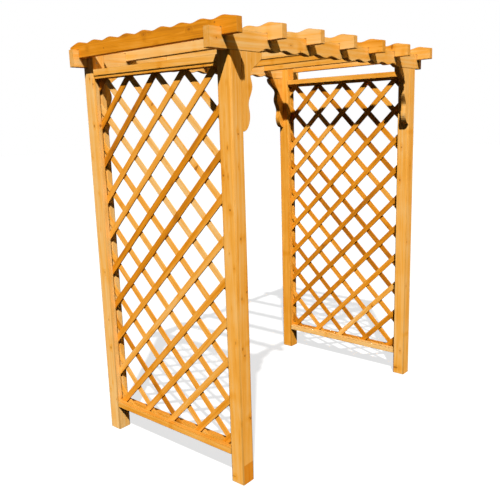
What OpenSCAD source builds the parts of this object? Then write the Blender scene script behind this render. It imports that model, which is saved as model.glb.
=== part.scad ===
// Cedar garden arbor: four square posts, two headers, seven rafters with a
// scalloped top edge, four scalloped corner braces and two lattice side panels.
// X runs across the opening, Y from front (-) to back (+), Z up.
// The origin lies on the ground under the middle of the arbor's overall box.

/* [Frame] */
// Clear width between the left and the right posts
clear_w = 1829; // [1200:1:2500]
// Clear depth between the front and the back posts
panel_d = 990; // [500:1:1300]
// Height of the headers' underside above the ground
head_h = 2311; // [1800:1:2500]
// Side of a square post
post_w = 89; // [76:1:120]
// Radius of a post's eased upright edges
post_edge_r = 8; // [3:0.5:12]

/* [Headers] */
// Thickness of a header board
header_t = 38; // [25:1:45]
// Height of a header board
header_h = 99; // [76:1:140]
// Length of a header past the posts at each end
header_overhang = 117; // [90:0.5:250]
// Sideways offset of the front header, which sits off centre to the left
front_header_shift = -22; // [-40:1:40]
// Sideways offset of the back header, which sits off centre to the right
back_header_shift = 22; // [-40:1:40]
// Least plain length under a centred header between a post and the scallops
header_plain = 125; // [80:1:300]
// Length of one scallop under a header
header_scallop_pitch = 153; // [80:1:180]
// Depth of a scallop under a header
header_scallop_depth = 13; // [4:1:20]
// Height of the points between the scallops above the header's plain underside
header_scallop_rise = 7; // [0:1:12]

/* [Rafters] */
// Thickness of a rafter board
rafter_t = 38; // [25:1:45]
// Height of a rafter at its scallops' crests
rafter_h = 89; // [76:1:140]
// Height of a rafter at its square front end
rafter_front_end_h = 74; // [55:1:75]
// Height of a rafter at its square back end
rafter_back_end_h = 67; // [55:1:75]
// Mean length of a rafter past the headers, front and back
rafter_overhang = 71; // [50:1:200]
// Offset of all the rafters along the depth, towards the front
rafter_shift = -30; // [-40:1:40]
// Space between an outer rafter and the posts beside it
rafter_side_gap = 17; // [5:1:60]
// Depth of the notch that seats a rafter on the front header
rafter_front_notch = 37; // [15:1:50]
// Depth of the notch that seats a rafter on the back header, deeper for a slight fall
rafter_back_notch = 48; // [15:1:50]
// Least plain length on top of a rafter between its end and the nearest crest
rafter_plain = 80; // [70:1:200]
// Length from one rafter crest to the next
rafter_scallop_pitch = 142; // [80:1:180]
// Depth of a scallop between two rafter crests
rafter_scallop_depth = 12; // [4:1:15]

/* [Corner braces] */
// Thickness of a corner brace
brace_t = 38; // [25:1:45]
// Width of a corner brace under the header
brace_w = 160; // [120:1:180]
// Height of a corner brace down the post
brace_h = 390; // [300:1:450]

/* [Side panels] */
// Height of a panel rail
rail_h = 38; // [25:1:60]
// Height of the bottom rails' underside above the ground
bottom_rail_z = 160; // [60:1:300]
// Drop from the headers' underside to the top rails' upper side
top_rail_drop = 13; // [5:1:120]
// Width of the stop strip under each outer top rail
outer_stop_w = 32; // [10:1:34]
// Width of the stop strip under each inner top rail
inner_stop_w = 19; // [10:1:34]
// Height of the stop strip under each top rail
stop_h = 16; // [10:1:30]
// Width of a lattice lath
lath_w = 38; // [20:1:50]
// Thickness of a lattice lath, of which there are two layers
lath_t = 8; // [5:1:10]
// Nearest size of a lattice diamond, of which a panel takes a whole count
diamond = 224.5; // [130:0.5:350]
// Space from a post to the nearest column of lath crossings
side_crossing = 46; // [30:1:80]
// Height of the lowest lath crossings above the bottom rails
low_crossing = 25.5; // [10:0.5:80]
// Length of the lattice that enters each post
lattice_housing = 8; // [4:1:12]
// Recess of the lattice's top and bottom edges inside the rails
lattice_recess = 6; // [2:1:15]

/* [Fits] */
// Clearance on each side of a notch or groove
fit_gap = 0.5; // [0.3:0.1:1]
// Clearance at the bottom of the lattice groove
groove_end_gap = 2; // [1:0.5:4]

/* [Hidden] */
cut = 1;
crest_steps = 12;
rafter_count = 7;
outer_x = clear_w / 2 + post_w;
outer_y = panel_d / 2 + post_w;
post_x = clear_w / 2 + post_w / 2;
post_y = panel_d / 2 + post_w / 2;
header_top = head_h + header_h;
header_l = 2 * (outer_x + header_overhang);
rafter_z = header_top - (rafter_front_notch + rafter_back_notch) / 2;
rafter_fall = atan((rafter_back_notch - rafter_front_notch) / (2 * outer_y - header_t));
rafter_l = 2 * (outer_y + rafter_overhang);
first_rafter_x = outer_x + rafter_side_gap + rafter_t / 2;
rafter_step = 2 * first_rafter_x / (rafter_count - 1);
rafter_crests = 1 + floor((rafter_l - 2 * rafter_plain) / rafter_scallop_pitch);
last_crest = (rafter_crests - 1) / 2 * rafter_scallop_pitch;
header_scallops = floor((clear_w - 2 * header_plain) / header_scallop_pitch);
header_scallops_l = header_scallops * header_scallop_pitch;
box_middle_x = (front_header_shift + back_header_shift) / 2;
low_end_h = rafter_fall > 0 ? rafter_back_end_h : rafter_front_end_h;
box_middle_y = rafter_shift * cos(rafter_fall) + low_end_h * sin(rafter_fall) / 2;
rail_t = post_w / 2 - lath_t;
top_rail_z = head_h - top_rail_drop - rail_h;
lattice_z = bottom_rail_z + lattice_recess;
lattice_h = top_rail_z + rail_h - lattice_recess - lattice_z;
crossings_w = panel_d - 2 * side_crossing;
crossings_z = bottom_rail_z + rail_h + low_crossing;
crossings_h = top_rail_z - stop_h - crossings_z;
diamonds_across = max(1, round(crossings_w / diamond));
diamonds_high = round(crossings_h / diamond);
diamond_w = crossings_w / diamonds_across;
lath_angle = atan2(diamond_w * diamonds_high, crossings_h);

// Height lost between two crests at a distance from a crest.
function scallop(distance, pitch, depth) = depth * (1 - cos(360 * distance / pitch)) / 2;

// Smooth step from one value to another, for a share from 0 to 1.
function ease(a, b, share) = a + (b - a) * (1 - cos(180 * share)) / 2;

// Moves the origin from the middle of the posts to the middle of the overall box.
module in_frame() {
    translate([-box_middle_x, -box_middle_y, 0]) children();
}

// Upright post with eased edges, centred on the Z axis.
module post_blank(height) {
    side = post_w / 2 - post_edge_r;
    linear_extrude(height) {
        square([post_w, 2 * side], center = true);
        square([2 * side, post_w], center = true);
        for (x = [-side, side], y = [-side, side])
            translate([x, y]) circle(r = post_edge_r, $fn = 48);
    }
}

// Front post, seen from the arbor's middle: its header seat is cut into the
// front face at the top, and its lattice groove into the back face.
module front_post() {
    groove_w = 2 * (lath_t + fit_gap);
    groove_d = lattice_housing + groove_end_gap;
    difference() {
        post_blank(header_top);
        translate([-post_w, -post_w / 2 - cut, head_h])
            cube([2 * post_w, header_t + cut, header_h + cut]);
        translate([-groove_w / 2, post_w / 2 - groove_d, bottom_rail_z])
            cube([groove_w, groove_d + cut, top_rail_z + rail_h - bottom_rail_z]);
    }
}

module post(side, end) {
    color("#E29A3C") in_frame() translate([side * post_x, end * post_y, 0])
        rotate(end < 0 ? 0 : 180) front_post();
}

// Scalloped stretch of a header's underside, in X and Z from its lower middle.
// The first and the last scallop run out to the plain underside.
function header_underside() = [for (i = [0 : header_scallops * crest_steps])
    let (run = header_scallop_pitch * i / crest_steps,
        end_run = min(run, header_scallops_l - run),
        rise = end_run < header_scallop_pitch / 2 ? 0 : header_scallop_rise)
    [run - header_scallops_l / 2,
        rise + scallop(run, header_scallop_pitch,
            header_scallop_depth + header_scallop_rise - rise)]];

module header(end, shift) {
    outline = concat([[-header_l / 2, header_h], [-header_l / 2, 0]], header_underside(),
        [[header_l / 2, 0], [header_l / 2, header_h]]);
    y = end < 0 ? -outer_y + header_t : outer_y;
    color("#EBA84F") in_frame() translate([shift, y, head_h])
        rotate([90, 0, 0]) linear_extrude(header_t) polygon(outline);
}

// Top of a rafter, in Y and Z from its lower middle: scallops to a quarter pitch
// past the last crest, then a straight slope down to each square end.
function rafter_top() =
    let (run = last_crest + rafter_scallop_pitch / 4,
        steps = (rafter_crests - 0.5) * crest_steps)
    concat([[-rafter_l / 2, rafter_front_end_h]],
        [for (i = [0 : steps]) let (y = run * (2 * i / steps - 1))
            [y, rafter_h - scallop(y - last_crest, rafter_scallop_pitch, rafter_scallop_depth)]],
        [[rafter_l / 2, rafter_back_end_h]]);

module rafter(number) {
    notch_w = header_t + 2 * fit_gap;
    color("#E8A045") in_frame()
        translate([(number - 1) * rafter_step - first_rafter_x, 0, 0]) difference() {
            translate([0, 0, rafter_z]) rotate([-rafter_fall, 0, 0])
                translate([-rafter_t / 2, rafter_shift, 0])
                    rotate([90, 0, 90]) linear_extrude(rafter_t)
                        polygon(concat(rafter_top(), [[rafter_l / 2, 0], [-rafter_l / 2, 0]]));
            for (end = [-1, 1])
                translate([-rafter_t, end * (outer_y - header_t / 2) - notch_w / 2, head_h])
                    cube([2 * rafter_t, notch_w, header_h]);
        }
}

// Free edge of a corner brace, as shares of its height down from the header and
// of its width out from the post: the nose, a waist, a swell, a dip and a tip.
brace_nose = [0.04, 1];
brace_tip = [0.8, 0.33];
brace_stations = [brace_nose, [0.28, 0.4], [0.43, 0.48], [0.66, 0.28], brace_tip];
brace_steps = 8;

// The stations are joined by smooth steps, and the tip turns round into the post.
function brace_edge() = concat([[brace_w, 0]],
    [for (s = [0 : len(brace_stations) - 2], i = [0 : brace_steps - 1])
        let (a = brace_stations[s], b = brace_stations[s + 1], share = i / brace_steps)
        [brace_w * ease(a[1], b[1], share), -brace_h * (a[0] + (b[0] - a[0]) * share)]],
    [for (i = [0 : brace_steps]) let (turn = 90 * i / brace_steps)
        [brace_w * brace_tip[1] * cos(turn),
            -brace_h * (brace_tip[0] + (1 - brace_tip[0]) * sin(turn))]]);

// Left brace, flush with the outer face of its header.
module brace(side, end) {
    y = end < 0 ? -outer_y + brace_t : outer_y;
    color("#E29A3C") in_frame() mirror([side > 0 ? 1 : 0, 0, 0])
        translate([-clear_w / 2, y, head_h])
            rotate([90, 0, 0]) linear_extrude(brace_t)
                polygon(concat([[0, 0]], brace_edge()));
}

// Parts of a side panel are drawn for the left side, in its own frame: X is 0
// in the posts' middle plane and points into the arbor.
module on_side(side) {
    in_frame() translate([side * post_x, 0, 0]) rotate(side < 0 ? 0 : 180) children();
}

module rail(side, inner, z) {
    color("#F0AE5A") on_side(side)
        translate([inner ? lath_t : -lath_t - rail_t, -panel_d / 2, z])
            cube([rail_t, panel_d, rail_h]);
}

module top_stops(side) {
    color("#C98A3A") on_side(side) translate([0, -panel_d / 2, top_rail_z - stop_h]) {
        translate([-lath_t - outer_stop_w, 0, 0]) cube([outer_stop_w, panel_d, stop_h]);
        translate([lath_t, 0, 0]) cube([inner_stop_w, panel_d, stop_h]);
    }
}

// One layer of parallel laths in the panel's plane. The two layers cross in
// whole diamonds, from the bottom rails to the top stop's lower edge.
module lath_layer(lean) {
    span = panel_d / 2 + lattice_housing;
    reach = 2 * norm([span, lattice_h]);
    intersection() {
        translate([-span, lattice_z]) square([2 * span, lattice_h]);
        for (i = [-diamonds_high - 1 : diamonds_across + diamonds_high + 1])
            translate([i * diamond_w - crossings_w / 2, crossings_z]) rotate(lean * lath_angle)
                translate([-lath_w / 2, -reach]) square([lath_w, 2 * reach]);
    }
}

module lattice(side) {
    color("#E8A045") on_side(side) {
        translate([-lath_t, 0, 0]) rotate([90, 0, 90]) linear_extrude(lath_t) lath_layer(1);
        rotate([90, 0, 90]) linear_extrude(lath_t) lath_layer(-1);
    }
}

post(-1, -1);  // front_left_post
post(1, -1);  // front_right_post
post(-1, 1);  // back_left_post
post(1, 1);  // back_right_post
header(-1, front_header_shift);  // front_header
header(1, back_header_shift);  // back_header
rafter(1);  // rafter_1
rafter(2);  // rafter_2
rafter(3);  // rafter_3
rafter(4);  // rafter_4
rafter(5);  // rafter_5
rafter(6);  // rafter_6
rafter(7);  // rafter_7
brace(-1, -1);  // front_left_brace
brace(1, -1);  // front_right_brace
brace(-1, 1);  // back_left_brace
brace(1, 1);  // back_right_brace
rail(-1, false, top_rail_z);  // left_top_outer_rail
rail(-1, true, top_rail_z);  // left_top_inner_rail
top_stops(-1);  // left_top_stops
rail(-1, false, bottom_rail_z);  // left_bottom_outer_rail
rail(-1, true, bottom_rail_z);  // left_bottom_inner_rail
lattice(-1);  // left_lattice
rail(1, false, top_rail_z);  // right_top_outer_rail
rail(1, true, top_rail_z);  // right_top_inner_rail
top_stops(1);  // right_top_stops
rail(1, false, bottom_rail_z);  // right_bottom_outer_rail
rail(1, true, bottom_rail_z);  // right_bottom_inner_rail
lattice(1);  // right_lattice
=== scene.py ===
"""Looks of the cedar garden arbor: stained timber, screws, staples and a plain stage."""

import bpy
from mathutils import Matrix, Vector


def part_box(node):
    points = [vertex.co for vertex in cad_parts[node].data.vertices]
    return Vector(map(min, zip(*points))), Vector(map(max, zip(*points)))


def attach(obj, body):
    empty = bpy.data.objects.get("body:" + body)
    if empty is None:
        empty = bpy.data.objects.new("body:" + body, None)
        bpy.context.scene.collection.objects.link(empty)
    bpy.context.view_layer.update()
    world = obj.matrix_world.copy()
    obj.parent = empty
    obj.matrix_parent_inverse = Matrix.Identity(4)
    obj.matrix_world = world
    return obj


bl_info = {
    "name": "Cedar Garden Arbor",
    "version": (1, 0, 0),
    "blender": (4, 5, 0),
    "location": "View3D > Sidebar > Arbor",
    "description": "Stains the arbor's boards, drives its screws and staples and sets its stage",
    "category": "Object",
}

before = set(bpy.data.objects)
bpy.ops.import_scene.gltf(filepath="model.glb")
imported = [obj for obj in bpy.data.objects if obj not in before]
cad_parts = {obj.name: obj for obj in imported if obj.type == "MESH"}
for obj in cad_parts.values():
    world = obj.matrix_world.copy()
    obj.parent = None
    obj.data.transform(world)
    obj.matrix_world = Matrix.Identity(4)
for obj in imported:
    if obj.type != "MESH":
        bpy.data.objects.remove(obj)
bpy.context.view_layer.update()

import math
import random

import bmesh
import bpy
from bpy.props import FloatProperty, FloatVectorProperty, IntProperty, PointerProperty
from mathutils import Matrix, Vector

POSTS = ("front_left_post", "front_right_post", "back_left_post", "back_right_post")
HEADERS = ("front_header", "back_header")
RAFTERS = tuple(f"rafter_{number}" for number in range(1, 8))
BRACES = ("front_left_brace", "front_right_brace", "back_left_brace", "back_right_brace")
TOP_RAILS = (
    "left_top_outer_rail", "left_top_inner_rail", "right_top_outer_rail", "right_top_inner_rail")
BOTTOM_RAILS = tuple(name.replace("top", "bottom") for name in TOP_RAILS)
STOPS = ("left_top_stops", "right_top_stops")
LATTICES = ("left_lattice", "right_lattice")
FAR_PANEL = ("back_right_post",) + tuple(
    name for name in LATTICES + TOP_RAILS + STOPS + BOTTOM_RAILS if name.startswith("right"))
NEAR_TOP = ("left_top_outer_rail", "left_top_inner_rail", "left_top_stops")
# The way that a board's grain runs, as an axis.
ALONG_X, ALONG_Y, ALONG_Z = range(3)
MILLIMETRE = 0.001
# Knots on the sunny faces: millimetres from the low corner of the board's box, and radius.
MOST_KNOTS = 6
NO_KNOT = (0, 0, -5000, 1)
SINGLE_KNOTS = {
    "front_left_post": ((44, 0, 1911, 6), (74, 0, 374, 9), (42, 0, 748, 8), (74, 0, 1092, 8),
                        (0, 32, 1534, 8), (0, 69, 1707, 8)),
    "front_right_post": ((0, 51, 1758, 7), (0, 61, 1518, 9), (0, 30, 190, 7), (36, 0, 1623, 6),
                         (12, 0, 1055, 7), (18, 0, 712, 7)),
    "back_left_post": ((0, 9, 2215, 7),),
    "front_header": ((50, 0, 47, 7), (636, 0, 53, 6)),
    "rafter_1": ((0, 141, 73, 7), (0, 993, 36, 6)),
}
# A pooled patch of stain at a foot, between two corners given in the same way.
STAINED_PATCHES = {"front_left_post": ((6, -5, -5), (94, 8, 118))}
NO_PATCH = ((0, 0, 0), (0, 0, 0))
# Arrises that are planed to a radius of their own.
POST_EDGE = 1.5 * MILLIMETRE
BRACE_EDGE = 2 * MILLIMETRE
STOP_EDGE = 1 * MILLIMETRE
# Crossings of the laths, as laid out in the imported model: a diamond's width, and the
# nearest crossings to the rails' front ends and to the tops of the bottom rails.
DIAMOND = 224.5 * MILLIMETRE
SIDE_CROSSING = 46 * MILLIMETRE
LOW_CROSSING = 25.5 * MILLIMETRE
# Screws of a header: across from the middle of the post, and up from the header's underside.
HEADER_SCREWS = ((-15 * MILLIMETRE, 24 * MILLIMETRE), (15 * MILLIMETRE, 72 * MILLIMETRE))
# Screws of a brace: out from the post under its nose, and up from its low end.
BRACE_NOSE = 120 * MILLIMETRE
BRACE_TIP = 55 * MILLIMETRE
# Screws of a pair of rails, as parts of its length.
RAIL_SCREWS = (0.08, 0.36, 0.64, 0.92)
# Room that a staple needs under the stops, and how far it may be turned, in degrees.
STAPLE_ROOM = 15 * MILLIMETRE
STAPLE_TURN = 15
# How far the studio floor reaches from the arbor, in metres.
FLOOR_REACH = 40
# Bearing and height of each lamp over the arbor, in degrees.
KEY_SUN = (-141.5, 51.6)
FRONT_SUN = (-90, 35)
BACK_SUN = (35, 5)
# Camera: at eye height in front on the left, turned to the right, tipped down and rolled.
CAMERA_PLACE = (-3.329, -2.617, 1.963)
CAMERA_TURN = math.radians(-49.73)
CAMERA_TIP = math.radians(78.47)
CAMERA_ROLL = math.radians(-1.65)


def linear(code):
    """Turns an sRGB hex colour into linear RGBA."""
    channels = [int(code[i : i + 2], 16) / 255 for i in (1, 3, 5)]
    return tuple(
        c / 12.92 if c <= 0.04045 else ((c + 0.055) / 1.055) ** 2.4 for c in channels
    ) + (1.0,)


def cells(*sizes):
    """Scale of a pattern whose cells have this size in millimetres, or these along the axes."""
    scales = tuple(1 / (size * MILLIMETRE) for size in sizes)
    return scales if len(scales) > 1 else scales[0]


def colour_property(name, description, code):
    return FloatVectorProperty(
        name=name, description=description, subtype="COLOR", size=4, min=0, max=1,
        default=linear(code),
    )


class ArborFinishSettings(bpy.types.PropertyGroup):
    """Stain, grain and painted shade of the cedar."""

    pale: colour_property("Pale stain", "Stain on the palest earlywood", "#F0BE76")
    middle: colour_property("Middle stain", "Stain on most of the wood", "#EEA743")
    deep: colour_property("Deep stain", "Stain on latewood and thirsty boards", "#DE8A14")
    dark: colour_property("Dark stain", "Stain in the thirstiest streaks", "#A8600C")
    knot: colour_property("Knots", "Heart of a knot", "#9C5A12")
    # Painted shade: the arrises are darkened towards this colour, to dim the highlight that the
    # key lamp puts on them.
    edge: colour_property("Arris shade", "Painted shade on the eased arrises, against the key lamp's highlight", "#A4732C")
    pooled: colour_property("Pooled stain", "What a second coat leaves of the colour", "#EBC654")
    end: colour_property("End grain", "Sawn ends, which drink more stain", "#D08A30")
    # Painted shade: faces that look up are multiplied by this greyish colour, darker and a little
    # greyer, to even them with the sides under the steep key lamp.
    weather: colour_property(
        "Upward shade", "Painted shade multiplied into faces that look up, where the key lamp falls steepest", "#CFC8BE")
    ring: FloatProperty(
        name="Growth ring", description="Mean width of a growth ring", subtype="DISTANCE",
        default=5.5 * MILLIMETRE, min=1 * MILLIMETRE, max=15 * MILLIMETRE,
    )
    knot_size: FloatProperty(
        name="Largest knot", description="Radius of the largest knots", subtype="DISTANCE",
        default=11 * MILLIMETRE, min=0, max=25 * MILLIMETRE,
    )
    board_edge: FloatProperty(
        name="Board edge", description="Radius of a board's planed arris", subtype="DISTANCE",
        default=3 * MILLIMETRE, min=0.5 * MILLIMETRE, max=5 * MILLIMETRE,
    )
    lath_edge: FloatProperty(
        name="Lath edge", description="Radius of a lath's rubbed arris", subtype="DISTANCE",
        default=1.2 * MILLIMETRE, min=0.3 * MILLIMETRE, max=2 * MILLIMETRE,
    )
    seed: IntProperty(
        name="Seed", description="Picks the cut and the tone of every board", default=7, min=0,
    )


class ArborFixingSettings(bpy.types.PropertyGroup):
    """Screws and staples."""

    head: FloatProperty(
        name="Screw head", description="Diameter of a deck screw's head", subtype="DISTANCE",
        default=8.5 * MILLIMETRE, min=4 * MILLIMETRE, max=12 * MILLIMETRE,
    )
    crown: FloatProperty(
        name="Staple crown", description="Length of a staple's crown", subtype="DISTANCE",
        default=11 * MILLIMETRE, min=4 * MILLIMETRE, max=15 * MILLIMETRE,
    )
    recess: FloatProperty(
        name="Screw recess", description="Width of the square recess in a head",
        subtype="DISTANCE", default=2.9 * MILLIMETRE, min=1 * MILLIMETRE, max=4 * MILLIMETRE,
    )
    wire: FloatProperty(
        name="Staple wire", description="Thickness of a staple's wire", subtype="DISTANCE",
        default=1.3 * MILLIMETRE, min=0.8 * MILLIMETRE, max=2 * MILLIMETRE,
    )
    leg: FloatProperty(
        name="Staple leg", description="Length of a staple's legs", subtype="DISTANCE",
        default=12 * MILLIMETRE, min=4 * MILLIMETRE, max=14 * MILLIMETRE,
    )
    seed: IntProperty(name="Seed", description="Picks how each fixing is turned", default=3, min=0)
    bright: colour_property("Bright zinc", "Zinc where it is still clean", "#B9B4A8")
    dull: colour_property("Dull zinc", "Zinc where weather has dulled it", "#7D776A")


class ArborStageSettings(bpy.types.PropertyGroup):
    """Floor, lamps and camera."""

    floor: colour_property("Floor", "Paint of the studio floor", "#F2F1EE")
    key: FloatProperty(
        name="Key lamp", description="Strength of the key lamp", default=6.45, min=0,
    )
    softness: FloatProperty(
        name="Key softness", description="How wide the key lamp looks from the arbor",
        subtype="ANGLE", default=math.radians(1), min=0, max=math.radians(60),
    )
    front: FloatProperty(
        name="Front lamp", description="Strength of the front lamp", default=0.42, min=0,
    )
    warm: colour_property("Front light", "Colour of the front lamp's light", "#FFD85A")
    back: FloatProperty(
        name="Back lamp", description="Strength of the back lamp", default=2.4, min=0,
    )
    daylight: FloatProperty(
        name="Room light", description="Strength of the light from all round", default=0.03, min=0,
    )
    lens: FloatProperty(
        name="Lens", description="Focal length on a 36 mm wide sensor",
        subtype="DISTANCE_CAMERA", default=44.8, min=10, max=200,
    )


def add(tree, kind, settings=None, inputs=None, out=0):
    """Adds a node, sets its properties, fills or links its inputs, and returns one output.

    The setting "stops" holds the (place, colour) stops of a colour ramp.
    """
    node = tree.nodes.new(kind if kind.startswith("NodeGroup") else "ShaderNode" + kind)
    settings = dict(settings or {})
    stops = settings.pop("stops", ())
    for _ in stops[2:]:
        node.color_ramp.elements.new(0.5)
    for number, (place, colour) in enumerate(stops):
        node.color_ramp.elements[number].position = place
        node.color_ramp.elements[number].color = colour
    for name, value in settings.items():
        setattr(node, name, value)
    for name, value in (inputs or {}).items():
        if isinstance(value, bpy.types.NodeSocket):
            tree.links.new(value, node.inputs[name])
        else:
            node.inputs[name].default_value = value
    return node.outputs[out] if node.outputs else node


def of_board(name):
    """Settings of an attribute node that reads a value kept on the board itself."""
    return {"attribute_type": "OBJECT", "attribute_name": name}


def grey(value):
    return (value, value, value, 1.0)


def cedar_grain(finish):
    """Node group for one board of stained cedar, in metres.

    Board is measured from the pith of the log, across in X and Y and along the grain
    in Z. A higher Tone takes more stain. End and Edge are masks of the sawn ends and of
    the arrises.
    """
    tree = bpy.data.node_groups.new("Cedar grain", "ShaderNodeTree")
    for name, kind in (
        ("Board", "Vector"), ("Tone", "Float"), ("End", "Float"), ("Edge", "Float"),
    ):
        tree.interface.new_socket(name, in_out="INPUT", socket_type="NodeSocket" + kind)
    for name, kind in (("Colour", "Color"), ("Roughness", "Float"), ("Height", "Float")):
        tree.interface.new_socket(name, in_out="OUTPUT", socket_type="NodeSocket" + kind)
    board = add(tree, "NodeGroupInput", None, None, "Board")
    given = board.node.outputs

    # A log is never quite straight in its board, so the rings run out on the faces.
    tilted = add(tree, "Mapping", None, {"Vector": board, "Rotation": (0.014, -0.02, 0)})
    slow = add(tree, "VectorMath", {"operation": "MULTIPLY"}, {0: tilted, 1: cells(143, 143, 770)})
    wander = add(tree, "TexNoise", None, {"Vector": slow, "Scale": 1, "Detail": 2}, "Color")
    wander = add(tree, "VectorMath", {"operation": "SUBTRACT"}, {0: wander, 1: (0.5, 0.5, 0.5)})
    wander = add(tree, "VectorMath", {"operation": "MULTIPLY"}, {
        0: wander, 1: (26 * MILLIMETRE, 26 * MILLIMETRE, 0)})
    bent = add(tree, "VectorMath", {"operation": "ADD"}, {0: tilted, 1: wander})
    flat = add(tree, "VectorMath", {"operation": "MULTIPLY"}, {0: bent, 1: (1, 1, 0)})
    radius = add(tree, "VectorMath", {"operation": "LENGTH"}, {0: flat}, "Value")
    across = add(tree, "SeparateXYZ", None, {0: bent}, "X")
    turn = add(tree, "Math", {"operation": "ARCTAN2"}, {0: across.node.outputs["Y"], 1: across})

    # Knots are branches that run out from the pith, one in each cell of turn and length.
    # They are shaped as they come out at the branch's reach.
    turn_cell = 0.9
    length_cell = 340 * MILLIMETRE
    branch_reach = 100 * MILLIMETRE
    turns = add(tree, "Math", {"operation": "DIVIDE"}, {0: turn, 1: turn_cell})
    lengths = add(tree, "Math", {"operation": "DIVIDE"}, {
        0: across.node.outputs["Z"], 1: length_cell})
    spot = add(tree, "CombineXYZ", None, {"X": turns, "Y": lengths})
    cell = add(tree, "TexVoronoi", {"voronoi_dimensions": "2D"}, {
        "Vector": spot, "Scale": 1}, "Position")
    away = add(tree, "VectorMath", {"operation": "SUBTRACT"}, {0: spot, 1: cell})
    away = add(tree, "VectorMath", {"operation": "MULTIPLY"}, {
        0: away, 1: (turn_cell * branch_reach, length_cell, 0)})
    away = add(tree, "VectorMath", {"operation": "LENGTH"}, {0: away}, "Value")
    # A third of the cells hold no knot.
    luck = add(tree, "SeparateColor", None, {0: cell.node.outputs["Color"]}, "Red")
    size = add(tree, "MapRange", None, {
        "Value": luck, "From Min": 0.35, "From Max": 1, "To Min": 0, "To Max": finish.knot_size})
    inside = add(tree, "Math", {"operation": "SUBTRACT"}, {0: size, 1: away})
    knot = add(tree, "MapRange", {"interpolation_type": "SMOOTHSTEP"}, {
        "Value": inside, "From Min": -1.5 * MILLIMETRE, "From Max": 2.5 * MILLIMETRE,
        "To Min": 0, "To Max": 1})
    halo = add(tree, "MapRange", {"interpolation_type": "SMOOTHSTEP"}, {
        "Value": inside, "From Min": -30 * MILLIMETRE, "From Max": 0, "To Min": 0, "To Max": 1})
    swirl = add(tree, "Math", {"operation": "MULTIPLY"}, {0: halo, 1: size})
    # The rings swell round a knot.
    ringed = add(tree, "Math", {"operation": "MULTIPLY_ADD"}, {0: swirl, 1: 0.9, 2: radius})

    # Each year's ring darkens slowly to its latewood and then stops sharply.
    year = add(tree, "Math", {"operation": "DIVIDE"}, {0: ringed, 1: finish.ring})
    year = add(tree, "Math", {"operation": "FRACT"}, {0: year})
    late = add(tree, "ValToRGB", {
        "stops": ((0, grey(0)), (0.5, grey(0.12)), (0.86, grey(1)), (1, grey(0)))}, {"Fac": year})

    # Streaks about 16 mm wide and two thirds of a metre long. Real fibres are too fine
    # to show, so they are drawn 1.2 mm wide.
    streak_at = add(tree, "VectorMath", {"operation": "MULTIPLY"}, {
        0: bent, 1: cells(16.1, 16.1, 667)})
    streak = add(tree, "TexNoise", None, {"Vector": streak_at, "Scale": 1, "Detail": 3})
    fibre_at = add(tree, "VectorMath", {"operation": "MULTIPLY"}, {
        0: bent, 1: cells(1.2, 1.2, 50)})
    fibre = add(tree, "TexNoise", None, {"Vector": fibre_at, "Scale": 1, "Detail": 1})
    # The stain goes on in patches about a hand long.
    patch = add(tree, "TexNoise", None, {"Vector": board, "Scale": cells(167), "Detail": 1})

    # Depth of stain: the board's tone and what each of these adds to it or takes from it.
    depth = add(tree, "Math", {"operation": "MULTIPLY_ADD"}, {0: late, 1: 0.2, 2: given["Tone"]})
    for source, weight in ((streak, 1.3), (fibre, 0.35), (patch, 0.5)):
        centred = add(tree, "Math", {"operation": "SUBTRACT"}, {0: source, 1: 0.5})
        depth = add(tree, "Math", {"operation": "MULTIPLY_ADD"}, {0: centred, 1: weight, 2: depth})
    depth = add(tree, "Math", {"operation": "MULTIPLY_ADD"}, {0: halo, 1: 0.25, 2: depth})
    depth = add(tree, "Math", {"operation": "MULTIPLY"}, {0: depth, 1: 0.6})
    colour = add(tree, "ValToRGB", {"stops": (
        (0, finish.pale), (0.3, finish.middle), (0.6, finish.deep), (1, finish.dark),
    )}, {"Fac": depth})
    for factor, strength, other in (
        (given["End"], 0.45, finish.end),
        # Painted shade: the arrises are mixed halfway to the arris colour, which dims the
        # highlight that the key lamp puts on them.
        (given["Edge"], 0.5, finish.edge),
        (knot, 0.75, finish.knot),
    ):
        part = add(tree, "Math", {"operation": "MULTIPLY"}, {0: factor, 1: strength})
        colour = add(tree, "Mix", {"data_type": "RGBA"}, {0: part, 6: colour, 7: other}, 2)

    rough = add(tree, "MapRange", None, {
        "Value": fibre, "From Min": 0.3, "From Max": 0.7, "To Min": 0.58, "To Max": 0.76})
    height = add(tree, "Math", {"operation": "MULTIPLY_ADD"}, {0: late, 1: 0.5, 2: fibre})
    height = add(tree, "Math", {"operation": "MULTIPLY_ADD"}, {0: knot, 1: 0.6, 2: height})
    add(tree, "NodeGroupOutput", None, {"Colour": colour, "Roughness": rough, "Height": height})
    return tree


def cedar_grain_group():
    """The shared grain group, made once."""
    group = bpy.data.node_groups.get("Cedar grain")
    return group or cedar_grain(bpy.context.scene.arbor_finish)


def arris(tree, facings):
    """Mask of the arrises, where the surface leans away from every face of its board.

    Each of the facings is how squarely the surface faces one way, from 0 to 1.
    """
    most, *others = facings
    for facing in others:
        most = add(tree, "Math", {"operation": "MAXIMUM"}, {0: most, 1: facing})
    return add(tree, "MapRange", None, {
        "Value": most, "From Min": 0.998, "From Max": 0.95, "To Min": 0, "To Max": 1})


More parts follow.
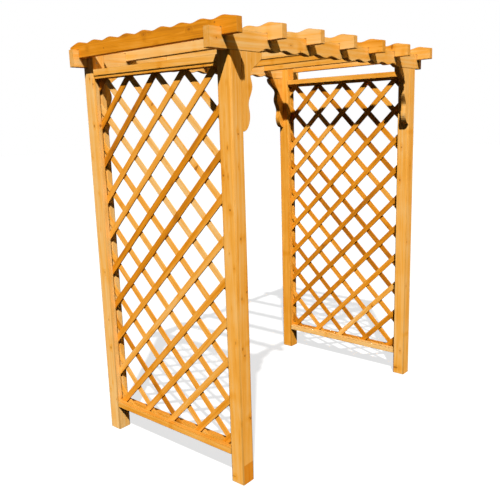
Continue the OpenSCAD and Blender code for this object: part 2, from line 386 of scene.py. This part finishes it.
def single_knots(tree, place, along, colour):
    """Small tight knots, each with a soft brown heart and a fainter swirl along the grain."""
    finish = bpy.context.scene.arbor_finish
    # What a swirl and a heart are squeezed by, how far they reach in radii of the
    # knot, how strong they are and their colour.
    along_grain = [0.4 if axis == along else 1.0 for axis in range(3)]
    swirl = (along_grain, 2.4, 0.4, finish.deep)
    heart = ((1, 1, 1), 1.0, 0.8, finish.knot)
    ragged = add(tree, "TexNoise", None, {"Vector": place, "Scale": cells(6.7), "Detail": 2})
    ragged = add(tree, "Math", {"operation": "MULTIPLY_ADD"}, {0: ragged, 1: 0.7, 2: -0.35})
    for number in range(MOST_KNOTS):
        middle = add(tree, "Attribute", of_board(f"knot_{number}"), None, "Vector")
        size = add(tree, "Attribute", of_board(f"knot_size_{number}"), None, "Fac")
        away = add(tree, "VectorMath", {"operation": "SUBTRACT"}, {0: place, 1: middle})
        for squeeze, reach, strength, shade in (swirl, heart):
            near = add(tree, "VectorMath", {"operation": "MULTIPLY"}, {0: away, 1: squeeze})
            near = add(tree, "VectorMath", {"operation": "LENGTH"}, {0: near}, "Value")
            near = add(tree, "Math", {"operation": "DIVIDE"}, {0: near, 1: size})
            near = add(tree, "Math", {"operation": "ADD"}, {0: near, 1: ragged})
            part = add(tree, "MapRange", {"interpolation_type": "SMOOTHSTEP"}, {
                "Value": near, "From Min": reach, "From Max": 0.45 * reach,
                "To Min": 0, "To Max": strength})
            colour = add(tree, "Mix", {"data_type": "RGBA"}, {0: part, 6: colour, 7: shade}, 2)
    return colour


def stained_patch(tree, place, colour):
    """A patch inside a box where a second coat of stain has pooled."""
    low = add(tree, "Attribute", of_board("stain_low"), None, "Vector")
    high = add(tree, "Attribute", of_board("stain_high"), None, "Vector")
    above = add(tree, "VectorMath", {"operation": "SUBTRACT"}, {0: place, 1: low})
    below = add(tree, "VectorMath", {"operation": "SUBTRACT"}, {0: high, 1: place})
    inside = add(tree, "VectorMath", {"operation": "MINIMUM"}, {0: above, 1: below})
    sides = add(tree, "SeparateXYZ", None, {0: inside}).node.outputs
    least = add(tree, "Math", {"operation": "MINIMUM"}, {0: sides["X"], 1: sides["Y"]})
    least = add(tree, "Math", {"operation": "MINIMUM"}, {0: least, 1: sides["Z"]})
    part = add(tree, "MapRange", {"interpolation_type": "SMOOTHSTEP"}, {
        "Value": least, "From Min": 0, "From Max": 5 * MILLIMETRE, "To Min": 0, "To Max": 0.9})
    pooled = bpy.context.scene.arbor_finish.pooled
    return add(tree, "Mix", {"data_type": "RGBA", "blend_type": "MULTIPLY"}, {
        0: part, 6: colour, 7: pooled}, 2)


def cedar_surface(tree, grain, true, mark=None):
    """Closes a cedar material: grain group, single marks, painted shade on upward faces, bump and
    shader.

    Grain holds the inputs of the grain group, true is the true normal, and mark adds
    the single marks to a colour.
    """
    colour = add(tree, "Group", {"node_tree": cedar_grain_group()}, grain, "Colour")
    given = colour.node.outputs
    if mark:
        colour = mark(colour)
    # Painted shade: faces that look up are multiplied darker and a little greyer, so that the
    # steep key lamp doesn't light them brighter than the sides.
    up = add(tree, "SeparateXYZ", None, {0: true}, "Z")
    colour = add(tree, "Mix", {"data_type": "RGBA", "blend_type": "MULTIPLY"}, {
        0: up, 6: colour, 7: bpy.context.scene.arbor_finish.weather}, 2)
    bump = add(tree, "Bump", None, {
        "Height": given["Height"], "Strength": 0.5, "Distance": 0.5 * MILLIMETRE})
    shader = add(tree, "BsdfPrincipled", None, {
        "Base Color": colour, "Roughness": given["Roughness"], "Normal": bump,
        "IOR": 1.45, "Specular IOR Level": 0.15})
    add(tree, "OutputMaterial", None, {"Surface": shader})


def new_material(name):
    material = bpy.data.materials.new(name)
    material.use_nodes = True
    material.node_tree.nodes.clear()
    return material


def cedar_board(name, along):
    """Planed and stained cedar for boards whose grain runs along one axis.

    Planing leaves straight, closed grain with a low sheen; the stain shows pale
    earlywood, deep latewood and dark knots, and soaks into the sawn ends.
    """
    material = new_material(name)
    tree = material.node_tree
    place = add(tree, "TexCoord", None, None, "Object")
    pith = add(tree, "Attribute", of_board("pith"), None, "Vector")
    tone = add(tree, "Attribute", of_board("tone"), None, "Fac")
    offset = add(tree, "VectorMath", {"operation": "SUBTRACT"}, {0: place, 1: pith})
    axes = add(tree, "SeparateXYZ", None, {0: offset}).node.outputs
    order = [(along + step) % 3 for step in (1, 2, 0)]
    board = add(tree, "CombineXYZ", None, {i: axes[axis] for i, axis in enumerate(order)})
    true = add(tree, "NewGeometry", None, None, "True Normal")
    square = add(tree, "VectorMath", {"operation": "ABSOLUTE"}, {0: true})
    square = add(tree, "SeparateXYZ", None, {0: square}).node.outputs
    end = add(tree, "MapRange", None, {
        "Value": square[along], "From Min": 0.6, "From Max": 0.95, "To Min": 0, "To Max": 1})

    def mark(colour):
        colour = single_knots(tree, place, along, colour)
        return stained_patch(tree, place, colour)

    cedar_surface(tree, {
        "Board": board, "Tone": tone, "End": end, "Edge": arris(tree, square)}, true, mark)
    return material


def cedar_lath(name):
    """Sawn and stained cedar lath, in two crossed layers.

    Each lath is ripped from another board, so its tone and grain change from lath
    to lath, and the saw leaves a slightly furry face.
    """
    material = new_material(name)
    tree = material.node_tree
    place = add(tree, "TexCoord", None, None, "Object")
    true = add(tree, "NewGeometry", None, None, "True Normal")
    # A point a millimetre inside the wood says which layer the surface is on.
    inward = add(tree, "VectorMath", {"operation": "SCALE"}, {0: true, "Scale": -MILLIMETRE})
    inner = add(tree, "VectorMath", {"operation": "ADD"}, {0: place, 1: inward})
    middle = add(tree, "Attribute", of_board("crossing"), None, "Vector")
    local = add(tree, "VectorMath", {"operation": "SUBTRACT"}, {0: inner, 1: middle})
    axes = add(tree, "SeparateXYZ", None, {0: local}).node.outputs
    layer = add(tree, "Math", {"operation": "SIGN"}, {0: axes["X"]})
    # The laths lean by 45 degrees, one layer each way.
    half = math.sqrt(0.5)
    leaning_z = add(tree, "Math", {"operation": "MULTIPLY"}, {0: axes["Z"], 1: layer})
    leaning_y = add(tree, "Math", {"operation": "MULTIPLY"}, {0: axes["Y"], 1: layer})
    side = add(tree, "Math", {"operation": "SUBTRACT"}, {0: axes["Y"], 1: leaning_z})
    side = add(tree, "Math", {"operation": "MULTIPLY"}, {0: side, 1: half})
    run = add(tree, "Math", {"operation": "ADD"}, {0: leaning_y, 1: axes["Z"]})
    run = add(tree, "Math", {"operation": "MULTIPLY"}, {0: run, 1: half})
    pitch = DIAMOND * half
    number = add(tree, "Math", {"operation": "DIVIDE"}, {0: side, 1: pitch})
    number = add(tree, "Math", {"operation": "ROUND"}, {0: number})
    # Every lath draws its own tone and cut: how far it lay from the pith each way, and
    # from where along the log it came.
    ticket = add(tree, "CombineXYZ", None, {0: number, 1: layer, 2: middle})
    draw = add(tree, "TexWhiteNoise", {"noise_dimensions": "3D"}, {"Vector": ticket}, "Color")
    cut = add(tree, "VectorMath", {"operation": "SUBTRACT"}, {0: draw, 1: (0.5, 0.5, 0.5)})
    cut = add(tree, "VectorMath", {"operation": "MULTIPLY"}, {
        0: cut, 1: (160 * MILLIMETRE, 120 * MILLIMETRE, 9)})
    centre = add(tree, "Math", {"operation": "MULTIPLY"}, {0: number, 1: -pitch})
    across = add(tree, "Math", {"operation": "ADD"}, {0: side, 1: centre})
    board = add(tree, "CombineXYZ", None, {0: across, 1: axes["X"], 2: run})
    board = add(tree, "VectorMath", {"operation": "ADD"}, {0: board, 1: cut})
    tone = add(tree, "MapRange", None, {
        "Value": draw.node.outputs["Value"], "From Min": 0, "From Max": 1,
        "To Min": 0.15, "To Max": 1.25})
    # The outer layer took a little more stain.
    outer = add(tree, "Attribute", of_board("outer"), None, "Fac")
    outside = add(tree, "Math", {"operation": "MULTIPLY"}, {0: outer, 1: layer})
    tone = add(tree, "Math", {"operation": "MULTIPLY_ADD"}, {0: outside, 1: 0.12, 2: tone})
    whole = add(tree, "Attribute", of_board("tone"), None, "Fac")
    tone = add(tree, "Math", {"operation": "ADD"}, {0: tone, 1: whole})
    # A lath's faces look along X, its narrow sides across the way that it leans.
    leaning = add(tree, "Math", {"operation": "MULTIPLY"}, {0: layer, 1: -half})
    sideways = add(tree, "CombineXYZ", None, {1: half, 2: leaning})
    facings = []
    for way in ((1, 0, 0), sideways):
        facing = add(tree, "VectorMath", {"operation": "DOT_PRODUCT"}, {0: true, 1: way}, "Value")
        facings.append(add(tree, "Math", {"operation": "ABSOLUTE"}, {0: facing}))
    cedar_surface(tree, {
        "Board": board, "Tone": tone, "End": 0.0, "Edge": arris(tree, facings)}, true)
    return material


def ease_edges(piece, width, segments=2):
    """Rounds a board's arrises as a planer's cutter leaves them.

    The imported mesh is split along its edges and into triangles, so it is first made whole.
    """
    weld = piece.modifiers.new("Join corners", "WELD")
    weld.merge_threshold = 0.02 * MILLIMETRE
    tidy = piece.modifiers.new("Whole faces", "DECIMATE")
    tidy.decimate_type = "DISSOLVE"
    tidy.angle_limit = math.radians(0.5)
    ease = piece.modifiers.new("Eased edges", "BEVEL")
    ease.width = width
    ease.segments = segments
    ease.limit_method = "ANGLE"
    ease.angle_limit = math.radians(35)
    ease.use_clamp_overlap = True


def finish_boards(
    names, material, along, edge, tones=None, any_tone=(0, 1),
    reach=(30 * MILLIMETRE, 90 * MILLIMETRE),
):
    """Gives each board the material, its own cut from a log, its tone and eased edges.

    Tones holds the tones of single boards and any_tone the range for the rest. Reach is
    how far the pith of the log may be from the middle of the board.
    """
    finish = bpy.context.scene.arbor_finish
    for name in names:
        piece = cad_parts[name]
        draw = random.Random(f"{finish.seed} {name}")
        low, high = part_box(name)
        bearing = draw.uniform(0, 2 * math.pi)
        distance = draw.uniform(*reach)
        shift = [distance * math.cos(bearing), distance * math.sin(bearing)]
        # Along the grain, the board may come from anywhere in a long log.
        shift.insert(along, draw.uniform(1, 9))
        piece["pith"] = [(a + b) / 2 + s for a, b, s in zip(low, high, shift)]
        piece["tone"] = (tones or {}).get(name, draw.uniform(*any_tone))
        knots = SINGLE_KNOTS.get(name, ())
        for number in range(MOST_KNOTS):
            *place, radius = knots[number] if number < len(knots) else NO_KNOT
            piece[f"knot_{number}"] = [a + b * MILLIMETRE for a, b in zip(low, place)]
            piece[f"knot_size_{number}"] = radius * MILLIMETRE
        corners = STAINED_PATCHES.get(name, NO_PATCH)
        for side, corner in zip(("low", "high"), corners):
            piece[f"stain_{side}"] = [a + b * MILLIMETRE for a, b in zip(low, corner)]
        piece.data.materials[0] = material
        ease_edges(piece, edge)


class ARBOR_OT_finish_posts(bpy.types.Operator):
    """Finish the four square posts"""

    bl_idname = "arbor.finish_posts"
    bl_label = "Posts"

    def execute(self, context):
        material = cedar_board("Cedar post, planed and stained", ALONG_Z)
        tones = {"front_left_post": 0.36, "back_left_post": 0.15, "back_right_post": 0.65}
        finish_boards(
            POSTS, material, ALONG_Z, POST_EDGE, tones, any_tone=(0.2, 0.45),
            reach=(10 * MILLIMETRE, 50 * MILLIMETRE))
        return {"FINISHED"}


class ARBOR_OT_finish_headers(bpy.types.Operator):
    """Finish the front and back headers"""

    bl_idname = "arbor.finish_headers"
    bl_label = "Headers"

    def execute(self, context):
        material = cedar_board("Cedar header, planed and stained", ALONG_X)
        tones = {"front_header": 0.28, "back_header": 0.15}
        finish_boards(HEADERS, material, ALONG_X, context.scene.arbor_finish.board_edge, tones)
        return {"FINISHED"}


class ARBOR_OT_finish_rafters(bpy.types.Operator):
    """Finish the seven scalloped rafters"""

    bl_idname = "arbor.finish_rafters"
    bl_label = "Rafters"

    def execute(self, context):
        material = cedar_board("Cedar rafter, planed and stained", ALONG_Y)
        edge = context.scene.arbor_finish.board_edge
        tones = {
            "rafter_1": 1.05, "rafter_2": 0.12, "rafter_3": 0.1, "rafter_5": 0.65,
            "rafter_6": 0.45, "rafter_7": 0.35,
        }
        finish_boards(RAFTERS, material, ALONG_Y, edge, tones, any_tone=(0.15, 0.5))
        return {"FINISHED"}


class ARBOR_OT_finish_braces(bpy.types.Operator):
    """Finish the four corner braces"""

    bl_idname = "arbor.finish_braces"
    bl_label = "Corner braces"

    def execute(self, context):
        material = cedar_board("Cedar brace, bandsawn and stained", ALONG_Z)
        finish_boards(BRACES, material, ALONG_Z, BRACE_EDGE, any_tone=(0.25, 0.5))
        return {"FINISHED"}


class ARBOR_OT_finish_rails(bpy.types.Operator):
    """Finish the rails and stop strips of the side panels"""

    bl_idname = "arbor.finish_rails"
    bl_label = "Rails and stops"

    def execute(self, context):
        material = cedar_board("Cedar rail, planed and stained", ALONG_Y)
        edge = context.scene.arbor_finish.board_edge
        tones = {
            "right_bottom_inner_rail": 0.0, "right_bottom_outer_rail": 1.0,
            "left_bottom_outer_rail": 0.5, "left_bottom_inner_rail": 0.7,
            "left_top_outer_rail": 0.35,
        }
        rails = TOP_RAILS + BOTTOM_RAILS
        finish_boards(rails, material, ALONG_Y, edge, tones, any_tone=(0.4, 0.7))
        finish_boards(STOPS, material, ALONG_Y, STOP_EDGE, any_tone=(0.5, 0.7))
        return {"FINISHED"}


class ARBOR_OT_finish_lattice(bpy.types.Operator):
    """Finish the two crossed layers of laths in each side panel"""

    bl_idname = "arbor.finish_lattice"
    bl_label = "Lattice"

    def execute(self, context):
        material = cedar_lath("Cedar lath, sawn and stained")
        for name, outer, tone in (("left_lattice", -1.0, 0.08), ("right_lattice", 1.0, 0.25)):
            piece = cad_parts[name]
            low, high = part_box(name)
            piece["crossing"] = [(low.x + high.x) / 2, (low.y + high.y) / 2, lowest_crossing()]
            piece["outer"] = outer
            piece["tone"] = tone
            piece.data.materials[0] = material
            ease_edges(piece, context.scene.arbor_finish.lath_edge, segments=1)
        return {"FINISHED"}


def lowest_crossing():
    """Height of the lowest crossings of the laths."""
    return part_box("left_bottom_outer_rail")[1].z + LOW_CROSSING


def new_piece(name, bm, material):
    """Links a mesh of fixings as a piece that rides on the arbor."""
    bmesh.ops.recalc_face_normals(bm, faces=bm.faces)
    mesh = bpy.data.meshes.new(name)
    bm.to_mesh(mesh)
    bm.free()
    piece = bpy.data.objects.new(name, mesh)
    bpy.context.scene.collection.objects.link(piece)
    mesh.materials.append(material)
    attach(piece, "root")
    return piece


def zinc_plated(name, scratch):
    """Zinc on steel: a soft grey shine, bright where it is clean and dull where it isn't.

    Scratch is the size in millimetres of the fine scratches that drawing or driving left.
    """
    fixings = bpy.context.scene.arbor_fixings
    material = new_material(name)
    tree = material.node_tree
    place = add(tree, "TexCoord", None, None, "Object")
    cloud = add(tree, "TexNoise", None, {"Vector": place, "Scale": cells(2.5), "Detail": 3})
    colour = add(tree, "ValToRGB", {
        "stops": ((0.35, fixings.dull), (0.65, fixings.bright))}, {"Fac": cloud})
    # Real scratches are too fine to show, so they are drawn a quarter of a millimetre wide.
    drawn = add(tree, "VectorMath", {"operation": "MULTIPLY"}, {0: place, 1: cells(*scratch)})
    fine = add(tree, "TexNoise", None, {"Vector": drawn, "Scale": 1, "Detail": 2})
    rough = add(tree, "MapRange", None, {
        "Value": cloud, "From Min": 0.3, "From Max": 0.7, "To Min": 0.55, "To Max": 0.35})
    bump = add(tree, "Bump", None, {
        "Height": fine, "Strength": 0.4, "Distance": 0.05 * MILLIMETRE})
    shader = add(tree, "BsdfPrincipled", None, {
        "Base Color": colour, "Metallic": 1, "Roughness": rough, "Normal": bump})
    add(tree, "OutputMaterial", None, {"Surface": shader})
    return material


def loft(bm, rings, place):
    """Skins a run of equal rings, closes both ends and moves the skin into place."""
    loops = [[bm.verts.new(place @ Vector(point)) for point in ring] for ring in rings]
    bm.faces.new(loops[0])
    bm.faces.new(loops[-1])
    for first, second in zip(loops, loops[1:]):
        for i in range(len(first)):
            bm.faces.new((first[i - 1], first[i], second[i], second[i - 1]))


def screw_rings(fixings, length):
    """Rings of a deck screw, from the floor of its square recess to its point."""
    turns = [step * math.pi / 8 for step in range(16)]

    def circle(radius, height):
        return [(radius * math.cos(turn), radius * math.sin(turn), height) for turn in turns]

    def square(width, height):
        reach = [width / 2 / max(abs(math.cos(turn)), abs(math.sin(turn))) for turn in turns]
        return [(r * math.cos(turn), r * math.sin(turn), height) for r, turn in zip(reach, turns)]

    head = fixings.head / 2
    proud = 0.25 * MILLIMETRE
    neck = head * 0.42
    shank = head * 0.4
    return [
        square(fixings.recess * 0.9, -2 * MILLIMETRE),
        square(fixings.recess, proud),
        circle(head * 0.88, proud),
        circle(head, 0),
        circle(head * 0.97, -0.5 * MILLIMETRE),
        circle(neck, -4 * MILLIMETRE),
        circle(shank, -6 * MILLIMETRE),
        circle(shank, -length * 0.86),
        circle(0.2 * MILLIMETRE, -length),
    ]


def drive_screws(name, places, length, material):
    """One piece of screws, each at a point of a face and driven along a direction."""
    fixings = bpy.context.scene.arbor_fixings
    draw = random.Random(f"{fixings.seed} {name}")
    rings = screw_rings(fixings, length)
    bm = bmesh.new()
    for point, way in places:
        turned = Vector(way).to_track_quat("-Z", "Y").to_matrix().to_4x4()
        spun = Matrix.Rotation(draw.uniform(0, math.pi), 4, "Z")
        loft(bm, rings, Matrix.Translation(point) @ turned @ spun)
    return new_piece(name, bm, material)


def met_from(name, start, way):
    """Where a line from outside first meets a board, and the way into the wood there."""
    hit, point, normal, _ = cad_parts[name].ray_cast(Vector(start), Vector(way))
    if not hit:
        raise RuntimeError(f"no wood of {name} is met from {start}")
    return point, -normal


class ARBOR_OT_drive_screws(bpy.types.Operator):
    """Drive the deck screws that hold the boards"""

    bl_idname = "arbor.drive_screws"
    bl_label = "Deck screws"

    def execute(self, context):
        material = zinc_plated("Deck screw steel, zinc plated", (0.25, 0.25, 3.3))
        for name, places, length in (
            ("header_screws", self.header_places(), 75 * MILLIMETRE),
            ("rafter_screws", self.rafter_places(), 100 * MILLIMETRE),
            ("brace_screws", self.brace_places(), 75 * MILLIMETRE),
            ("rail_screws", self.rail_places(), 64 * MILLIMETRE),
        ):
            drive_screws(name, places, length, material)
        return {"FINISHED"}

    def header_places(self):
        """Two screws from each post's inner face into the header that it holds."""
        for name in POSTS:
            low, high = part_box(name)
            front = name.startswith("front")
            face = high.y if front else low.y
            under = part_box("front_header" if front else "back_header")[0].z
            middle = (low.x + high.x) / 2
            for side, rise in HEADER_SCREWS:
                yield (middle + side, face, under + rise), (0, -1 if front else 1, 0)

    def rafter_places(self):
        """One screw down through each rafter into the middle of each header."""
        for name in RAFTERS:
            low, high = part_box(name)
            for header in HEADERS:
                near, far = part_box(header)
                above = ((low.x + high.x) / 2, (near.y + far.y) / 2, high.z + 1)
                point, _ = met_from(name, above, (0, 0, -1))
                yield point, (0, 0, -1)

    def brace_places(self):
        """One screw through each end of a brace, into the header and into the post."""
        for name in BRACES:
            low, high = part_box(name)
            middle = (low.y + high.y) / 2
            left = low.x < 0
            inward = 1 if left else -1
            post = low.x if left else high.x
            nose = (post + inward * BRACE_NOSE, middle, low.z - 1)
            tip = (post + inward, middle, low.z + BRACE_TIP)
            yield met_from(name, nose, (0, 0, 1))
            yield met_from(name, tip, (-inward, 0, 0))

    def rail_places(self):
        """Four screws along each pair of rails, which clamp the lattice between them."""
        for side, row in (("left", "top_inner"), ("left", "bottom_inner"),
                          ("right", "top_outer"), ("right", "bottom_outer")):
            low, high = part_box(f"{side}_{row}_rail")
            for part in RAIL_SCREWS:
                along = low.y + part * (high.y - low.y)
                yield (high.x, along, (low.z + high.z) / 2), (-1, 0, 0)


def staple_rings(fixings):
    """Rings of a square wire, bent into a staple with its crown across X."""
    thick = fixings.wire / 2
    half = fixings.crown / 2
    bend = 1.5 * thick
    # Each station: middle of the wire, and the way that its outside faces.
    path = [
        ((-half, -fixings.leg), 180), ((-half, -bend), 180),
        ((-half + bend * 0.3, -bend * 0.3), 135), ((-half + bend, 0), 90),
        ((half - bend, 0), 90), ((half - bend * 0.3, -bend * 0.3), 45),
        ((half, -bend), 0), ((half, -fixings.leg), 0),
    ]
    # The wire is square, with its corners drawn round.
    section = (
        (-1, -0.6), (-0.6, -1), (0.6, -1), (1, -0.6), (1, 0.6), (0.6, 1), (-0.6, 1), (-1, 0.6))
    rings = []
    for (x, z), facing in path:
        out_x, out_z = math.cos(math.radians(facing)), math.sin(math.radians(facing))
        rings.append([
            (x + a * thick * out_x, b * thick, z + a * thick * out_z) for a, b in section])
    return rings


class ARBOR_OT_staple_lattice(bpy.types.Operator):
    """Staple the laths of both lattices where they cross"""

    bl_idname = "arbor.staple_lattice"
    bl_label = "Lattice staples"

    def execute(self, context):
        fixings = context.scene.arbor_fixings
        material = zinc_plated("Staple wire, galvanised", (1.1, 0.25, 0.25))
        rings = staple_rings(fixings)
        for name in LATTICES:
            side = name.split("_")[0]
            draw = random.Random(f"{fixings.seed} {name}")
            bm = bmesh.new()
            for point in self.crossings(name, side):
                out = Matrix.Rotation(math.pi / 2, 4, "Y")
                turn = math.radians(draw.uniform(-STAPLE_TURN, STAPLE_TURN))
                askew = Matrix.Rotation(turn, 4, "Z")
                loft(bm, rings, Matrix.Translation(point) @ out @ askew)
            new_piece(f"{side}_staples", bm, material)
        return {"FINISHED"}

    def crossings(self, name, side):
        """Every crossing that shows between the rails, on the lattice's +X face."""
        low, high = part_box(name)
        rail_low, rail_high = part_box(f"{side}_bottom_inner_rail")
        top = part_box(f"{side}_top_stops")[0].z - STAPLE_ROOM
        for step in range(2):
            z = lowest_crossing() + step * DIAMOND / 2
            while z < top:
                y = rail_low.y + SIDE_CROSSING + step * DIAMOND / 2
                while y < rail_high.y:
                    yield (high.x, y, z)
                    y += DIAMOND
                z += DIAMOND


class ARBOR_OT_set_stage(bpy.types.Operator):
    """Set the floor, lamps, room light and camera"""

    bl_idname = "arbor.set_stage"
    bl_label = "Stage"

    def execute(self, context):
        stage = context.scene.arbor_stage
        self.make_floor(stage)
        self.make_lamps(stage)
        self.make_room(context.scene, stage)
        self.make_camera(context.scene, stage)
        context.scene.view_settings.view_transform = "Standard"
        return {"FINISHED"}

    def make_floor(self, stage):
        bm = bmesh.new()
        bmesh.ops.create_grid(bm, x_segments=8, y_segments=8, size=FLOOR_REACH)
        mesh = bpy.data.meshes.new("studio_floor")
        bm.to_mesh(mesh)
        bm.free()
        floor = bpy.data.objects.new("studio_floor", mesh)
        bpy.context.scene.collection.objects.link(floor)
        material = new_material("Studio floor, matt painted")
        tree = material.node_tree
        # Seen straight, the floor is nearly white and keeps a light shadow; what
        # it throws back onto the arbor is dimmer, as from a grey floor.
        paint = add(tree, "BsdfDiffuse", None, {"Color": stage.floor})
        white = add(tree, "Emission", None, {"Color": (1, 1, 1, 1), "Strength": 1})
        seen = add(tree, "MixShader", None, {0: 0.75, 1: paint, 2: white})
        dim = add(tree, "BsdfDiffuse", None, {"Color": linear("#2A2926")})
        camera_ray = add(tree, "LightPath", None, None, "Is Camera Ray")
        shader = add(tree, "MixShader", None, {0: camera_ray, 1: dim, 2: seen})
        add(tree, "OutputMaterial", None, {"Surface": shader})
        mesh.materials.append(material)

    def make_lamps(self, stage):
        # The key lamp stands front left. Two twins of it light the far panel, where
        # only the last two rafters leave a shadow, and the near panel's top rail, which
        # the first rafter leaves clear. A wide, warm lamp in front keeps the shadows on
        # the front brown, and one behind lights what the key lamp can't reach.
        far = [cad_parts[name] for name in FAR_PANEL]
        near = [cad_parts[name] for name in NEAR_TOP]
        rafters = [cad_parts[name] for name in RAFTERS]
        header = [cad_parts["front_header"]]
        floor = [bpy.data.objects["studio_floor"]]
        key = (KEY_SUN, stage.key, stage.softness)
        self.make_lamp("key_lamp", *key, unlit=far + near)
        self.make_lamp("far_lamp", *key, lit=far, clear=rafters[:5] + header)
        self.make_lamp("near_lamp", *key, lit=near, clear=rafters[:1])
        front = self.make_lamp(
            "front_lamp", FRONT_SUN, stage.front, 20 * stage.softness, unlit=floor)
        front.data.color = stage.warm[:3]
        back = self.make_lamp(
            "back_lamp", BACK_SUN, stage.back, 10 * stage.softness, unlit=floor, bounces=0)
        # It grazes the boards' upper sides, where its glare would sparkle on the fibres.
        back.visible_glossy = False

    def make_lamp(self, name, sun, strength, softness, lit=(), unlit=(), clear=(), bounces=1):
        """A distant lamp at a bearing and a height.

        It lights all, the pieces in lit or all but those in unlit, and the pieces in
        clear leave no shadow in its light.
        """
        lamp = bpy.data.lights.new(name, "SUN")
        # More bounces between stained boards turn their shadows red.
        lamp.cycles.max_bounces = bounces
        lamp.energy = strength
        lamp.angle = softness
        turn, rise = (math.radians(angle) for angle in sun)
        flat = math.cos(rise)
        way = Vector((math.cos(turn) * flat, math.sin(turn) * flat, math.sin(rise)))
        piece = bpy.data.objects.new(name, lamp)
        piece.location = 6 * way  # Only its direction counts.
        piece.rotation_euler = (-way).to_track_quat("-Z", "Y").to_euler()
        bpy.context.scene.collection.objects.link(piece)
        if lit or unlit:
            piece.light_linking.receiver_collection = self.linked(f"{name} light", lit, unlit)
        if clear:
            piece.light_linking.blocker_collection = self.linked(f"{name} shade", (), clear)
        return piece

    def linked(self, name, included, excluded):
        """The collection that light linking takes, with pieces in it and left out of it."""
        group = bpy.data.collections.new(name)
        for state, pieces in (("INCLUDE", included), ("EXCLUDE", excluded)):
            for piece in pieces:
                group.objects.link(piece)
                group.collection_objects[-1].light_linking.link_state = state
        return group

    def make_room(self, scene, stage):
        world = bpy.data.worlds.new("Studio room")
        world.use_nodes = True
        scene.world = world
        tree = world.node_tree
        tree.nodes.clear()
        # The room is white where it is seen or mirrored, and dim where it lights.
        shown = add(tree, "LightPath", None, None, "Is Camera Ray")
        rays = shown.node.outputs
        for kind in ("Is Glossy Ray", "Is Transmission Ray"):
            shown = add(tree, "Math", {"operation": "MAXIMUM"}, {0: shown, 1: rays[kind]})
        strength = add(tree, "MapRange", None, {
            "Value": shown, "From Min": 0, "From Max": 1, "To Min": stage.daylight, "To Max": 1})
        light = add(tree, "Background", None, {"Color": (1, 1, 1, 1), "Strength": strength})
        add(tree, "OutputWorld", None, {"Surface": light})

    def make_camera(self, scene, stage):
        camera = bpy.data.cameras.new("camera")
        camera.lens = stage.lens
        camera.clip_end = 200
        piece = bpy.data.objects.new("camera", camera)
        turned = Matrix.Rotation(CAMERA_TURN, 4, "Z")
        tipped = Matrix.Rotation(CAMERA_TIP, 4, "X")
        rolled = Matrix.Rotation(CAMERA_ROLL, 4, "Z")
        piece.matrix_world = Matrix.Translation(CAMERA_PLACE) @ turned @ tipped @ rolled
        scene.collection.objects.link(piece)
        scene.camera = piece


class ARBOR_PT_looks(bpy.types.Panel):
    """Lists the arbor's operators and settings"""

    bl_idname = "ARBOR_PT_looks"
    bl_label = "Cedar garden arbor"
    bl_space_type = "VIEW_3D"
    bl_region_type = "UI"
    bl_category = "Arbor"

    def draw(self, context):
        for operator in OPERATORS:
            self.layout.operator(operator.bl_idname)
        for settings in (
            context.scene.arbor_finish, context.scene.arbor_fixings, context.scene.arbor_stage,
        ):
            box = self.layout.box()
            for name in settings.__annotations__:
                box.prop(settings, name)


OPERATORS = (
    ARBOR_OT_finish_posts,
    ARBOR_OT_finish_headers,
    ARBOR_OT_finish_rafters,
    ARBOR_OT_finish_braces,
    ARBOR_OT_finish_rails,
    ARBOR_OT_finish_lattice,
    ARBOR_OT_drive_screws,
    ARBOR_OT_staple_lattice,
    ARBOR_OT_set_stage,
)
SETTINGS = {
    "arbor_finish": ArborFinishSettings,
    "arbor_fixings": ArborFixingSettings,
    "arbor_stage": ArborStageSettings,
}


def register():
    for group in SETTINGS.values():
        bpy.utils.register_class(group)
    for name, group in SETTINGS.items():
        setattr(bpy.types.Scene, name, PointerProperty(type=group))
    for item in OPERATORS + (ARBOR_PT_looks,):
        bpy.utils.register_class(item)


def unregister():
    for item in (ARBOR_PT_looks,) + OPERATORS[::-1]:
        bpy.utils.unregister_class(item)
    for name in SETTINGS:
        delattr(bpy.types.Scene, name)
    for group in SETTINGS.values():
        bpy.utils.unregister_class(group)


def main():
    register()
    for operator in OPERATORS:
        family, name = operator.bl_idname.split(".")
        getattr(getattr(bpy.ops, family), name)()


if __name__ == "__main__":
    main()
